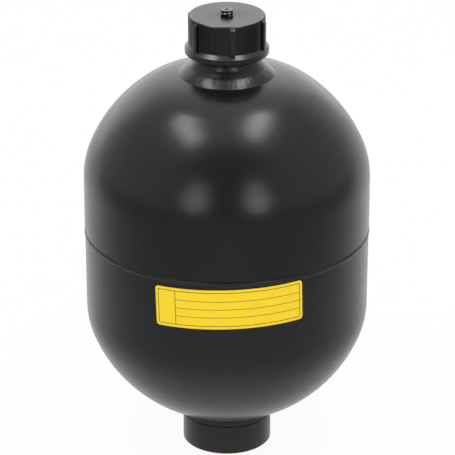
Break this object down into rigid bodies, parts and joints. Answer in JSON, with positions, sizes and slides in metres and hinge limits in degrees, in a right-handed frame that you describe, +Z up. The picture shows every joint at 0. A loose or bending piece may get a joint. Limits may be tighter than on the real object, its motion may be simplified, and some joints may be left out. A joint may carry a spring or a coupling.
{
  "type": "diaphragm accumulator",
  "caption": "Welded steel diaphragm accumulator: two domed halves with a threaded fluid port below and a ribbed screw-on cap over its gas-charging stub above.",
  "frame": {"origin": "centre of the fluid port's bottom face, on which the accumulator stands", "axes": "+Z up along the vessel's axis from the fluid port to the gas-charging stub, -Y towards the label"},
  "size_m": [0.1218, 0.1218, 0.1975],
  "materials": {
    "body_paint": "satin black paint with fine orange peel",
    "weld_paint": "satin black paint over a weld bead",
    "port_paint": "satin black paint outside, bare machined steel in the bore",
    "stub_paint": "satin black paint over turned steel",
    "ring_steel": "turned steel",
    "plate_steel": "turned steel",
    "screw_steel": "zinc-plated steel",
    "diaphragm_rubber": "moulded nitrile rubber",
    "seal_rubber": "moulded nitrile rubber",
    "cap_plastic": "moulded black plastic, low sheen",
    "label_foil": "yellow self-adhesive foil"
  },
  "bodies": {
    "vessel": {"lower_shell": "body_paint", "upper_shell": "body_paint", "equator_weld": "weld_paint", "clamp_ring": "ring_steel", "diaphragm": "diaphragm_rubber", "fluid_port_boss": "port_paint", "fluid_port_weld": "weld_paint", "gas_stub": "stub_paint", "gas_stub_weld": "weld_paint", "label": "label_foil"},
    "cap": {"protective_cap": "cap_plastic"},
    "gas_valve": {"charging_screw": "screw_steel", "charging_screw_seal": "seal_rubber"},
    "oil_valve": {"closing_plate": "plate_steel"}
  },
  "joints": [
    {"name": "cap_unscrew", "type": "slide", "parent": "vessel", "child": "cap", "axis": [0, 0, 1], "range_m": [0, 0.012]},
    {"name": "charging_screw_open", "type": "slide", "parent": "vessel", "child": "gas_valve", "axis": [0, 0, 1], "range_m": [0, 0.0025]},
    {"name": "closing_plate_lift", "type": "slide", "parent": "vessel", "child": "oil_valve", "axis": [0, 0, 1], "range_m": [0, 0.115], "stiffness_N_per_m": 15, "springref_m": -0.02, "deforming": ["diaphragm"]}
  ]
}
